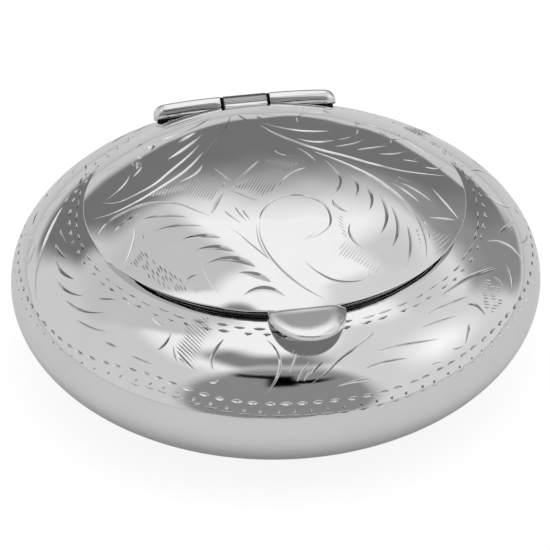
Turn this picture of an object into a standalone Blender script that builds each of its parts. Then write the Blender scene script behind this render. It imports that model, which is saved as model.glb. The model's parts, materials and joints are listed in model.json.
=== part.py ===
"""Round hinged pill box in polished silver.

A squat round body, made of a bowl and a shoulder pressing that meet at the belly, carries a
seat band inside its opening. A domed lid with a thumb tab turns on a three-knuckle hinge.
Frame: metres, +Z up, resting face on Z = 0, -Y is the front (tab), +Y the back (hinge).
"""
from math import asin, cos, pi, radians, sin

import bmesh
import bpy
from mathutils import Vector

# Driving dimensions of the body.
BELLY_RADIUS = 0.0250
BELLY_HEIGHT = 0.0081
FOOT_RADIUS = 0.0120
SHOULDER_ARC_CENTRE = 0.0110
SHOULDER_ARC_HEIGHT = 0.00826
SHEET = 0.0005
SEAM = 0.0002

# Driving dimensions of the lid.
LID_RADIUS = 0.01785
LID_EDGE_HEIGHT = 0.0162
DOME_RISE = 0.0035
TAB_HALF_WIDTH = 0.0035
TAB_REACH = 0.0042

# Seat band inside the opening, and the band of the lid that drops into it.
BAND_SHEET = 0.0004
OPENING_RADIUS = 0.0173
SEAT_CLEARANCE = 0.0001
SEAT_DEPTH = 0.0026
LID_BAND_DEPTH = 0.0016

# Hinge.
HINGE_Y = 0.0185
HINGE_Z = 0.01555
KNUCKLE_RADIUS = 0.00075
KNUCKLE_GAP = 0.0003
LID_KNUCKLE_LENGTH = 0.0043
HINGE_LENGTH = 0.0182
PIN_RADIUS = 0.0004
PIN_CLEARANCE = 0.00005
PIN_LENGTH = 0.0130
GROOVE_CLEARANCE = 0.0001

# Facets.
TURN_STEPS = 64
ARC_STEPS = 8
KNUCKLE_STEPS = 20
TAB_STEPS = 16


def clear_scene():
    for item in list(bpy.data.objects):
        bpy.data.objects.remove(item)


def silver(name, tone, roughness):
    material = bpy.data.materials.new(name)
    material.use_nodes = True
    shader = material.node_tree.nodes["Principled BSDF"]
    shader.inputs["Base Color"].default_value = (tone, tone, tone, 1.0)
    shader.inputs["Metallic"].default_value = 1.0
    shader.inputs["Roughness"].default_value = roughness
    return material


def add_object(name, bm, material, parent):
    bmesh.ops.recalc_face_normals(bm, faces=bm.faces)
    mesh = bpy.data.meshes.new(name)
    bm.to_mesh(mesh)
    bm.free()
    mesh.shade_smooth()
    mesh.set_sharp_from_angle(angle=radians(35))
    mesh.materials.append(material)
    piece = bpy.data.objects.new(name, mesh)
    bpy.context.collection.objects.link(piece)
    piece.parent = parent
    return piece


def add_empty(name, location):
    empty = bpy.data.objects.new(name, None)
    empty.location = location
    bpy.context.collection.objects.link(empty)
    return empty


def turned(outline, steps):
    """Turn a section of (radius, height) points about Z. A section with a point on the axis
    starts and ends there; any other section closes on itself."""
    bm = bmesh.new()
    rings = []
    for radius, height in outline:
        if radius == 0:
            rings.append([bm.verts.new((0, 0, height))])
            continue
        angles = [2 * pi * i / steps for i in range(steps)]
        rings.append([bm.verts.new((radius * cos(a), radius * sin(a), height)) for a in angles])
    pairs = list(zip(rings, rings[1:]))
    if outline[0][0] > 0:
        pairs.append((rings[-1], rings[0]))
    for low, high in pairs:
        for i in range(steps):
            j = (i + 1) % steps
            corners = [low[i % len(low)], low[j % len(low)], high[j % len(high)], high[i % len(high)]]
            bm.faces.new(dict.fromkeys(corners))
    return bm


def arc_point(centre, width, height, angle, inset):
    """Point of an elliptical arc, moved inwards along its normal by inset."""
    normal = Vector((cos(angle) / width, sin(angle) / height)).normalized()
    radius = centre + width * cos(angle) - inset * normal.x
    return radius, height * sin(angle) - inset * normal.y


def body_arc(centre, height, start, end, inset):
    """Points of the body's wall between two angles; angle 0 is at the belly."""
    width = BELLY_RADIUS - centre
    points = []
    for i in range(ARC_STEPS + 1):
        angle = start + (end - start) * i / ARC_STEPS
        radius, rise = arc_point(centre, width, height, angle, inset)
        points.append((radius, BELLY_HEIGHT + rise))
    return points


def base_bowl():
    """Lower pressing: a bowl with a flat floor, open at the belly."""
    top_angle = -asin(SEAM / 2 / BELLY_HEIGHT)
    outside = body_arc(FOOT_RADIUS, BELLY_HEIGHT, -pi / 2, top_angle, 0)
    inside = body_arc(FOOT_RADIUS, BELLY_HEIGHT, top_angle, -pi / 2, SHEET)
    return turned([(0, 0)] + outside + inside + [(0, SHEET)], TURN_STEPS)


def shoulder_ring():
    """Upper pressing: from the belly up to the round opening."""
    start = asin(SEAM / 2 / SHOULDER_ARC_HEIGHT)
    width = BELLY_RADIUS - SHOULDER_ARC_CENTRE
    reach = (OPENING_RADIUS - SHOULDER_ARC_CENTRE) / width
    end = pi / 2 - asin(reach)
    outside = body_arc(SHOULDER_ARC_CENTRE, SHOULDER_ARC_HEIGHT, start, end, 0)
    inside = body_arc(SHOULDER_ARC_CENTRE, SHOULDER_ARC_HEIGHT, end, start, SHEET)
    inside[0] = (OPENING_RADIUS, inside[0][1])
    return turned(outside + inside, TURN_STEPS)


def band(outer_radius, bottom, top):
    inner_radius = outer_radius - BAND_SHEET
    outline = [(outer_radius, bottom), (outer_radius, top), (inner_radius, top), (inner_radius, bottom)]
    return turned(outline, TURN_STEPS)


def rim_bezel():
    """Seat band just inside the opening; the lid comes to rest on its top."""
    top = LID_EDGE_HEIGHT - SHEET - 2 * SEAT_CLEARANCE
    return band(OPENING_RADIUS - SEAT_CLEARANCE, top - SEAT_DEPTH, top)


def lid_flange():
    """Band under the lid that slides inside the seat band and keeps the lid shut."""
    radius = OPENING_RADIUS - BAND_SHEET - 2 * SEAT_CLEARANCE
    top = LID_EDGE_HEIGHT - SHEET
    return band(radius, top - LID_BAND_DEPTH, top)


def dome_height(radius):
    """Height of the lid's outer face at a radius: nearly flat in the middle, steeper outwards."""
    return LID_EDGE_HEIGHT + DOME_RISE * (1 - (radius / LID_RADIUS) ** 3)


def lid_shell():
    """Domed plate of even thickness, with an upright edge."""
    radii = [LID_RADIUS * i / ARC_STEPS for i in range(ARC_STEPS + 1)]
    top = [(radius, dome_height(radius)) for radius in radii]
    bottom = [(radius, height - SHEET) for radius, height in reversed(top)]
    return turned(top + bottom, TURN_STEPS)


def thumb_tab():
    """Flat half-round tab, hollowed at the back to fit the lid's edge."""
    inner = LID_RADIUS + SEAT_CLEARANCE
    half_angle = asin(TAB_HALF_WIDTH / inner)
    root = inner * cos(half_angle)
    outline = []
    for i in range(1, TAB_STEPS):
        turn = pi * i / TAB_STEPS
        outline.append((-TAB_HALF_WIDTH * cos(turn), -root - TAB_REACH * sin(turn)))
    for i in range(TAB_STEPS + 1):
        turn = half_angle - 2 * half_angle * i / TAB_STEPS
        outline.append((inner * sin(turn), -inner * cos(turn)))
    bm = bmesh.new()
    top = LID_EDGE_HEIGHT
    face = bm.faces.new([bm.verts.new((x, y, top - SHEET)) for x, y in outline])
    raised = bmesh.ops.extrude_face_region(bm, geom=[face])["geom"]
    lifted = [item for item in raised if isinstance(item, bmesh.types.BMVert)]
    bmesh.ops.translate(bm, verts=lifted, vec=(0, 0, SHEET))
    return bm


def lay_along_x(bm, start, direction):
    """Lay a piece turned about Z along the hinge axis, from start, towards +X or -X."""
    for vert in bm.verts:
        along, side, up = vert.co.z, vert.co.x, vert.co.y
        vert.co = (start + direction * along, side, up)
    return bm


def lid_knuckle():
    hole = PIN_RADIUS + PIN_CLEARANCE
    half = LID_KNUCKLE_LENGTH / 2
    outline = [(KNUCKLE_RADIUS, -half), (KNUCKLE_RADIUS, half), (hole, half), (hole, -half)]
    return lay_along_x(turned(outline, KNUCKLE_STEPS), 0, 1)


def body_knuckle(direction):
    """Outer knuckle: a blind tube whose far end is rounded like a bullet."""
    start = LID_KNUCKLE_LENGTH / 2 + KNUCKLE_GAP
    length = HINGE_LENGTH / 2 - start
    nose = 2 * KNUCKLE_RADIUS
    hole = PIN_RADIUS + PIN_CLEARANCE
    hole_depth = PIN_LENGTH / 2 - start + KNUCKLE_GAP
    outline = [(0, hole_depth), (hole, hole_depth), (hole, 0), (KNUCKLE_RADIUS, 0)]
    for i in range(ARC_STEPS):
        turn = pi / 2 * i / ARC_STEPS
        outline.append((KNUCKLE_RADIUS * cos(turn), length - nose + nose * sin(turn)))
    outline.append((0, length))
    return lay_along_x(turned(outline, KNUCKLE_STEPS), direction * start, direction)


def hinge_pin():
    half = PIN_LENGTH / 2
    outline = [(0, -half), (PIN_RADIUS, -half), (PIN_RADIUS, half), (0, half)]
    return lay_along_x(turned(outline, KNUCKLE_STEPS), 0, 1)


def hinge_groove(location):
    """Cutter for the groove in which the knuckles lie, in the shoulder and in the lid's edge."""
    radius = KNUCKLE_RADIUS + GROOVE_CLEARANCE
    half = HINGE_LENGTH / 2 + GROOVE_CLEARANCE
    outline = [(0, -half), (radius, -half), (radius, half), (0, half)]
    bm = lay_along_x(turned(outline, KNUCKLE_STEPS), 0, 1)
    bmesh.ops.recalc_face_normals(bm, faces=bm.faces)
    mesh = bpy.data.meshes.new("hinge_groove_cutter")
    bm.to_mesh(mesh)
    bm.free()
    cutter = bpy.data.objects.new("hinge_groove_cutter", mesh)
    bpy.context.collection.objects.link(cutter)
    cutter.location = location
    cutter.hide_render = True
    cutter.display_type = "WIRE"
    return cutter


def cut(piece, cutter):
    modifier = piece.modifiers.new("groove", "BOOLEAN")
    modifier.operation = "DIFFERENCE"
    modifier.object = cutter


def under(bm, parent_location):
    """Move a mesh made in world coordinates into its parent's own coordinates."""
    bmesh.ops.translate(bm, verts=bm.verts, vec=-Vector(parent_location))
    return bm


def main():
    clear_scene()
    hinge_place = (0, HINGE_Y, HINGE_Z)
    body = add_empty("body_frame", (0, 0, 0))
    hinge = add_empty("hinge_axis", hinge_place)

    polished = silver("polished_silver", 0.86, 0.08)
    inner = silver("inner_silver", 0.82, 0.22)
    hinge_silver = silver("hinge_silver", 0.84, 0.12)

    add_object("base_bowl", base_bowl(), polished, body)
    groove = hinge_groove(hinge_place)
    shoulder = add_object("shoulder_ring", shoulder_ring(), polished, body)
    cut(shoulder, groove)
    add_object("rim_bezel", rim_bezel(), inner, body)
    lid = add_object("lid_shell", under(lid_shell(), hinge_place), polished, hinge)
    cut(lid, groove)
    add_object("lid_flange", under(lid_flange(), hinge_place), inner, hinge)
    add_object("thumb_tab", under(thumb_tab(), hinge_place), polished, hinge)
    add_object("lid_knuckle", lid_knuckle(), hinge_silver, hinge)

    fixed_hinge = [
        ("body_knuckle_left", body_knuckle(-1)),
        ("body_knuckle_right", body_knuckle(1)),
        ("hinge_pin", hinge_pin()),
    ]
    for name, bm in fixed_hinge:
        piece = add_object(name, bm, hinge_silver, body)
        piece.location = hinge_place


main()
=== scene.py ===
"""Looks of the round silver pill box: polished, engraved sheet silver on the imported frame.

Lengths are millimetres inside this script and become metres when a mesh is made. The lid is
drawn in plan, x to the right and y towards the hinge. The shoulder is drawn by azimuth, which
is 0 at the front and grows to the right, and by the angle of its arc, which is 0 at the belly.
"""
import json
from math import asin, atan2, cos, degrees, hypot, pi, radians, sin, sqrt

import bmesh
import bpy
import numpy as np
from mathutils import Matrix, Vector
from mathutils.geometry import delaunay_2d_cdt
from mathutils.kdtree import KDTree


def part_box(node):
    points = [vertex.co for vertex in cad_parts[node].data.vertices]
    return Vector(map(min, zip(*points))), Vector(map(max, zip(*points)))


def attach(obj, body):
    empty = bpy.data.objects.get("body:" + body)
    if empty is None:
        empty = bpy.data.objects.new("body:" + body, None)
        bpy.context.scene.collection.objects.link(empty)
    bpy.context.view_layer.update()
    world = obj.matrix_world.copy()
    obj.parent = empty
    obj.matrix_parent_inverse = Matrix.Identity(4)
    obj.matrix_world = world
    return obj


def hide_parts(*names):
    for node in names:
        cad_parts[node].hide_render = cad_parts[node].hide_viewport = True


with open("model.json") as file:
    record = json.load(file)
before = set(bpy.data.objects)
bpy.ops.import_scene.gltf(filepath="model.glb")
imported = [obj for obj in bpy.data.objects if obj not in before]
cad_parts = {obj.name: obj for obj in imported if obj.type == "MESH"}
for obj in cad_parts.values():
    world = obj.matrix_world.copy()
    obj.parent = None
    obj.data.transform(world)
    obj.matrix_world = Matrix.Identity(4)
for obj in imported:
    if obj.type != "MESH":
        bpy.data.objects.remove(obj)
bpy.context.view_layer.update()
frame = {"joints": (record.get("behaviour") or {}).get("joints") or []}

MM = 0.001


def frame_mm(node):
    low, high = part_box(node)
    return low / MM, high / MM


# Boxes of the CAD parts, and the hinge.
_, bowl_high = frame_mm("base_bowl")
shoulder_low, shoulder_high = frame_mm("shoulder_ring")
lid_low, lid_high = frame_mm("lid_shell")
bezel_low, bezel_high = frame_mm("rim_bezel")
flange_low, flange_high = frame_mm("lid_flange")
tab_low, tab_high = frame_mm("thumb_tab")
knuckle_low, knuckle_high = frame_mm("lid_knuckle")
outer_low, outer_high = frame_mm("body_knuckle_right")
_, pin_high = frame_mm("hinge_pin")
hinge_axis = Vector(frame["joints"][0]["pos_m"]) / MM

# Sizes of the part that its boxes don't give.
SHEET = 0.5
BAND_SHEET = 0.4
SEAT_CLEARANCE = 0.1
FOOT_RADIUS = 12.0
SHOULDER_CENTRE = 11.0

# Sizes worked out from the boxes.
BELLY_RADIUS = round(bowl_high.x, 2)
BELLY_HEIGHT = round((bowl_high.z + shoulder_low.z) / 2, 2)
OPENING_RADIUS = bezel_high.x + SEAT_CLEARANCE
SHOULDER_WIDTH = BELLY_RADIUS - SHOULDER_CENTRE
RIM_ANGLE = pi / 2 - asin((OPENING_RADIUS - SHOULDER_CENTRE) / SHOULDER_WIDTH)
SHOULDER_ARC_HEIGHT = round((shoulder_high.z - BELLY_HEIGHT) / sin(RIM_ANGLE), 2)
LID_RADIUS = lid_high.x
LID_EDGE_HEIGHT = lid_low.z + SHEET
DOME_RISE = lid_high.z - LID_EDGE_HEIGHT
KNUCKLE_RADIUS = (knuckle_high.z - knuckle_low.z) / 2
PIN_RADIUS = pin_high.z - hinge_axis.z

# Details that only the look has.
DOME_POWER = 3
LID_PLATE = 0.4
LID_BEVEL = 0.11
LID_UNDERCUT = 0.45
BACK_DROP = 0.5
BACK_DROP_START = 3
DENT_DEPTH = 0.22
DENT_SIZE = 1.5
DENT_PLACE = (-6.3, -18.5)
RIM_ROLL = 0.4
UNEVENNESS = 0.004
BAND_EDGE = 0.08
KNUCKLE_EDGE = 0.07
KNUCKLE_NOSE = 1.15
KNUCKLE_SQUARE = 0.03
LID_KNUCKLE_SQUARE = 0.045
BORE_CLEARANCE = 0.05
HINGE_BOW = 0.009
HINGE_BOW_START = 2.5
TAB_EDGE = 0.12
TAB_DROOP = 0.26
TAB_FLAT = 0.7
FOLD_SOFTNESS = 0.12

# Engraving. A cut this deep holds all its dirt. The other shares are of a groove wall's height.
BOLDNESS = 1.1
DIRTY_DEPTH = 0.03
FLAT_BELOW = 0.06
CARVED_ABOVE = 0.04

# Fineness of the meshes.
AROUND = 288
SKIN_GRID = 0.55
SECTION_STEPS = 48

# View of the camera: degrees, millimetres, and its aim right of and above the belly's centre.
CAMERA_AZIMUTH = -8.77
CAMERA_ELEVATION = 35.22
CAMERA_ROLL = 0.77
CAMERA_DISTANCE = 252.9
CAMERA_LENS = 174.7
CAMERA_AIM = (-0.06, -0.46)


def unit(vectors):
    return vectors / np.maximum(np.linalg.norm(vectors, axis=-1, keepdims=True), 1e-12)


def add_piece(name, mesh, material):
    mesh.materials.append(material)
    piece = bpy.data.objects.new(name, mesh)
    bpy.context.collection.objects.link(piece)
    return piece


# ---------------------------------------------------------------------------------------------
# Meshes: turned walls and engraved skins


class Shell:
    """A closed mesh made ring by ring, with a normal for every face corner."""

    def __init__(self, around=AROUND):
        self.around = around
        self.verts = []
        self.faces = []
        self.normals = []
        self.cuts = []

    def add_verts(self, points, cuts=None):
        first = len(self.verts)
        self.verts.extend(tuple(p) for p in points)
        self.cuts.extend([0.0] * len(points) if cuts is None else list(cuts))
        return list(range(first, first + len(points)))

    def ring(self, radius, height):
        if radius < 1e-6:
            return self.add_verts([(0, 0, height)])
        turns = [2 * pi * i / self.around for i in range(self.around)]
        return self.add_verts([(radius * cos(t), radius * sin(t), height) for t in turns])

    def turn(self, section, start=None, end=None):
        """Wall turned from a section of (radius, height), going down outside and up inside."""
        section = np.array(section, float)
        slope = np.gradient(section, axis=0, edge_order=2 if len(section) > 2 else 1)
        normal = unit(np.stack([-slope[:, 1], slope[:, 0]], 1))
        rings = []
        for k, (radius, height) in enumerate(section):
            given = start if k == 0 else end if k == len(section) - 1 else None
            rings.append(given or self.ring(radius, height))
        for k in range(len(section) - 1):
            for i in range(self.around):
                self.add_turned_face(rings[k:k + 2], normal[k:k + 2], i)
        return rings[0], rings[-1]

    def add_turned_face(self, rings, normals, step):
        """One face between two rings, a triangle where a ring is a single point."""
        face, face_normals = [], []
        for row, corner in ((0, step), (1, step), (1, step + 1), (0, step + 1)):
            ring = rings[row]
            vert = ring[corner % len(ring)]
            if vert in face:
                continue
            turn = 2 * pi * (corner % self.around if len(ring) > 1 else step + 0.5) / self.around
            out, up = normals[row]
            face.append(vert)
            face_normals.append((out * cos(turn), out * sin(turn), up))
        self.faces.append(face)
        self.normals.append(face_normals)

    def add_wall(self, rings):
        """Wall down through rings of verts, smooth all round, with a flat bottom."""
        sides = []
        for upper, lower in zip(rings, rings[1:]):
            for i, j in zip(range(len(upper)), [*range(1, len(upper)), 0]):
                sides.append((upper[i], lower[i], lower[j], upper[j]))
        bottom = tuple(reversed(rings[-1]))
        place = np.array(self.verts)
        totals = np.zeros_like(place)
        for face in sides:
            totals[list(face)] += polygon_normal(place[list(face)])
        smooth = unit(totals)
        self.faces += sides + [bottom]
        self.normals += [[tuple(smooth[v]) for v in face] for face in sides]
        self.normals.append([tuple(polygon_normal(place[list(bottom)]))] * len(bottom))

    def object(self, name, material, place=None, reshaped=False):
        """Piece from the shell; a reshaped one takes its normals from its new shape."""
        mesh = bpy.data.meshes.new(name)
        mesh.from_pydata([Vector(v) * MM for v in self.verts], [], self.faces)
        cut = mesh.attributes.new("cut", "FLOAT", "POINT")
        cut.data.foreach_set("value", np.array(self.cuts, np.float32))
        mesh.polygons.foreach_set("use_smooth", [True] * len(mesh.polygons))
        if reshaped:
            mesh.set_sharp_from_angle(angle=radians(40))
        else:
            mesh.normals_split_custom_set([n for face in self.normals for n in face])
        if place is not None:
            mesh.transform(place)
        return add_piece(name, mesh, material)


def polygon_normal(corners):
    return unit(np.cross(corners, np.roll(corners, -1, axis=0)).sum(0))


class Stroke:
    """One cut of the graver: a V groove, as deep as its width allows, narrowing to points."""

    FULLNESS = 0.8

    def __init__(self, points, width, lean=0.0, slope=0.45, fullest=0.5, steps=14, dirt=0.5):
        """Lean moves the bottom to one side, and fullest is where the cut is widest, 0 to 1."""
        self.line = smooth_line(points, steps)
        t = np.linspace(0, 1, steps)
        power = np.log(0.5) / np.log(fullest)
        self.half = width / 2 * np.sin(pi * t ** power) ** self.FULLNESS + 1e-4
        self.half[0] = self.half[-1] = 0.0
        self.lean = lean
        self.slope = slope
        self.dirt = dirt

    def sides(self):
        along = unit(np.gradient(self.line, axis=0))
        across = np.stack([-along[:, 1], along[:, 0]], 1) * self.half[:, None]
        left = (self.line + across)[1:-1]
        middle = (self.line + across * self.lean)[1:-1]
        right = (self.line - across)[1:-1]
        return left, middle, right

    def depth(self, points):
        """Depth of the groove at points, and how far down its wall each one is, 0 to 1."""
        start, end = self.line[:-1], self.line[1:]
        run = end - start
        offset = points[:, None, :] - start[None]
        t = np.clip((offset * run).sum(2) / (run ** 2).sum(1), 0, 1)
        gap = offset - t[..., None] * run
        distance = np.linalg.norm(gap, axis=2)
        nearest = distance.argmin(1)
        rows = np.arange(len(points))
        t, distance = t[rows, nearest], distance[rows, nearest]
        gap = gap[rows, nearest]
        side = np.sign(run[nearest, 0] * gap[:, 1] - run[nearest, 1] * gap[:, 0])
        half = self.half[nearest] * (1 - t) + self.half[nearest + 1] * t + 1e-9
        across = side * distance / half
        wall = np.minimum((1 - across) / (1 - self.lean), (1 + across) / (1 + self.lean))
        wall = np.clip(wall, 0, 1)
        return wall * half * self.slope, wall


def smooth_line(points, steps):
    """Points along a smooth curve through the given points."""
    points = np.array(points, float)
    if len(points) == 2:
        points = np.insert(points, 1, points.mean(0), axis=0)
    knots = np.concatenate([[0], np.cumsum(np.linalg.norm(np.diff(points, axis=0), axis=1))])
    slopes = np.gradient(points, knots, axis=0, edge_order=2 if len(points) > 2 else 1)
    where = np.linspace(0, knots[-1], steps)
    k = np.clip(np.searchsorted(knots, where, side="right") - 1, 0, len(points) - 2)
    span = (knots[k + 1] - knots[k])[:, None]
    t = ((where - knots[k]) / span[:, 0])[:, None]
    return ((2 * t ** 3 - 3 * t ** 2 + 1) * points[k] + (t ** 3 - 2 * t ** 2 + t) * span * slopes[k]
            + (3 * t ** 2 - 2 * t ** 3) * points[k + 1] + (t ** 3 - t ** 2) * span * slopes[k + 1])


def groove_depth(strokes, points):
    """At each point: the depth of the cuts, how far down a wall it is, and the dirt there."""
    depth = np.zeros(len(points))
    wall = np.zeros(len(points))
    dirt = np.zeros(len(points))
    for stroke in strokes:
        reach = stroke.half.max() + 0.01
        low, high = stroke.line.min(0) - reach, stroke.line.max(0) + reach
        near = np.where(((points > low) & (points < high)).all(1))[0]
        if len(near) == 0:
            continue
        new_depth, new_wall = stroke.depth(points[near])
        depth[near] = np.maximum(depth[near], new_depth)
        wall[near] = np.maximum(wall[near], new_wall)
        new_dirt = new_wall * stroke.dirt * np.clip(new_depth / DIRTY_DEPTH, 0, 1)
        dirt[near] = np.maximum(dirt[near], new_dirt)
    return depth, wall, dirt


def circle(radius, count):
    turns = 2 * pi * np.arange(count) / count
    return np.stack([radius * np.cos(turns), radius * np.sin(turns)], 1)


def base_grid(low, high, inside, taken):
    """Triangular grid of plain points, kept clear of the points that are taken."""
    clearance = 0.3 * SKIN_GRID
    tree = KDTree(len(taken))
    for i, point in enumerate(taken):
        tree.insert((point[0], point[1], 0), i)
    tree.balance()
    row_height = SKIN_GRID * sqrt(3) / 2
    points = []
    for row in range(int((high - low) / row_height) + 1):
        y = low + row * row_height
        for column in range(int((high - low) / SKIN_GRID) + 2):
            x = low + (column + row % 2 / 2) * SKIN_GRID
            if inside(x, y) and tree.find((x, y, 0))[2] > clearance:
                points.append((x, y))
    return np.array(points)


def add_skin(shell, loops, inside, surface, strokes):
    """Cut the strokes into a surface over the plan bounded by loops. Returns the loops' verts."""
    points, edges = [], []
    for loop in loops:
        first = len(points)
        points.extend(map(tuple, loop))
        edges.extend((first + i, first + (i + 1) % len(loop)) for i in range(len(loop)))
    loop_ends = np.cumsum([0] + [len(loop) for loop in loops])
    for stroke in strokes:
        tips = len(points)
        points.extend([tuple(stroke.line[0]), tuple(stroke.line[-1])])
        for side in stroke.sides():
            first = len(points)
            points.extend(map(tuple, side))
            chain = [tips] + list(range(first, first + len(side))) + [tips + 1]
            edges.extend(zip(chain, chain[1:]))
    reach = np.abs(loops[-1]).max()
    points.extend(map(tuple, base_grid(-reach, reach, inside, points)))
    flat, _, faces, origins, _, _ = delaunay_2d_cdt([Vector(p) for p in points], edges, [], 0, 1e-5)

    plan = np.array([tuple(p) for p in flat])
    faces = np.array([tuple(f) for f in faces])
    centres = plan[faces].mean(1)
    keep = np.array([inside(x, y, 0) for x, y in centres])
    faces, centres = faces[keep], centres[keep]
    depth, wall, dirt = groove_depth(strokes, plan)
    depth[wall < FLAT_BELOW] = 0
    _, face_wall, _ = groove_depth(strokes, centres)
    carved = face_wall > CARVED_ABOVE

    place, normal = surface_and_normal(surface, plan)
    place -= normal * depth[:, None]
    used = np.unique(faces)
    number = -np.ones(len(plan), int)
    number[used] = shell.add_verts(place[used], dirt[used])
    corner_normals = normal[faces]
    groove_normals = carved_normals(place, faces, carved)
    corner_normals[carved] = groove_normals[carved]
    shell.faces.extend([tuple(number[face]) for face in faces])
    shell.normals.extend([tuple(map(tuple, n)) for n in corner_normals])

    where = {}
    for new, old in enumerate(origins):
        for source in old:
            where[source] = number[new]
    return [[where[i] for i in range(a, b)] for a, b in zip(loop_ends, loop_ends[1:])]


def surface_and_normal(surface, plan):
    step = 0.04
    place = surface(plan)
    by_x = surface(plan + (step, 0)) - surface(plan - (step, 0))
    by_y = surface(plan + (0, step)) - surface(plan - (0, step))
    return place, unit(np.cross(by_x, by_y))


def carved_normals(place, faces, carved):
    """Corner normals inside the grooves: each wall is smooth along itself and sharp elsewhere."""
    a, b, c = (place[faces[:, k]] for k in range(3))
    face_normal = np.cross(b - a, c - a)
    flat = unit(face_normal)
    result = np.repeat(flat[:, None, :], 3, axis=1)
    members = {}
    for f in np.where(carved)[0]:
        for vert in faces[f]:
            members.setdefault(vert, []).append(f)
    limit = cos(radians(22))
    for f in np.where(carved)[0]:
        for k, vert in enumerate(faces[f]):
            group = np.array(members[vert])
            group = group[flat[group] @ flat[f] > limit]
            result[f, k] = unit(face_normal[group].sum(0))
    return result


def ripple(plan):
    """The gentle unevenness of hand-polished sheet."""
    x, y = plan[:, 0], plan[:, 1]
    waves = [(0.83, 0.31, 0.4), (-0.42, 0.71, 1.9), (0.55, -0.93, 3.1), (1.31, 0.87, 5.2),
             (-1.12, 1.43, 0.9)]
    total = sum(np.sin(a * x + b * y + phase) / hypot(a, b) for a, b, phase in waves)
    return UNEVENNESS * total


# ---------------------------------------------------------------------------------------------
# Sections of the turned parts


def dome_height(radius):
    """The lid's profile: nearly flat in the middle and steeper towards its edge."""
    return LID_EDGE_HEIGHT + DOME_RISE * (1 - (np.asarray(radius) / LID_RADIUS) ** DOME_POWER)


def back_drop(y):
    """How much lower the lid lies towards the hinge than at the front, where it stands open."""
    t = np.clip((np.asarray(y) + BACK_DROP_START) / (LID_RADIUS + BACK_DROP_START), 0, 1)
    return BACK_DROP * t * t * (3 - 2 * t)


def body_arc(centre, height, start, end, inset=0.0, steps=SECTION_STEPS):
    """Section of the body's wall from one arc angle to another, in radians."""
    angle = np.linspace(start, end, steps)
    width = BELLY_RADIUS - centre
    normal = unit(np.stack([np.cos(angle) / width, np.sin(angle) / height], 1))
    curve = np.stack([centre + width * np.cos(angle), BELLY_HEIGHT + height * np.sin(angle)], 1)
    return curve - inset * normal


def shoulder_arc(start, end, inset=0.0, steps=SECTION_STEPS):
    return body_arc(SHOULDER_CENTRE, SHOULDER_ARC_HEIGHT, start, end, inset, steps)


def bowl_arc(start, end, inset=0.0, steps=SECTION_STEPS):
    return body_arc(FOOT_RADIUS, BELLY_HEIGHT, start, end, inset, steps)


def bend(centre, radius, start, end, steps=5):
    """Quarter-round or shorter bend of a section, by angle from +radius towards +height."""
    turns = np.linspace(radians(start), radians(end), steps)
    return [(centre[0] + radius * cos(t), centre[1] + radius * sin(t)) for t in turns]


# ---------------------------------------------------------------------------------------------
# Engraving on the lid


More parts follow.
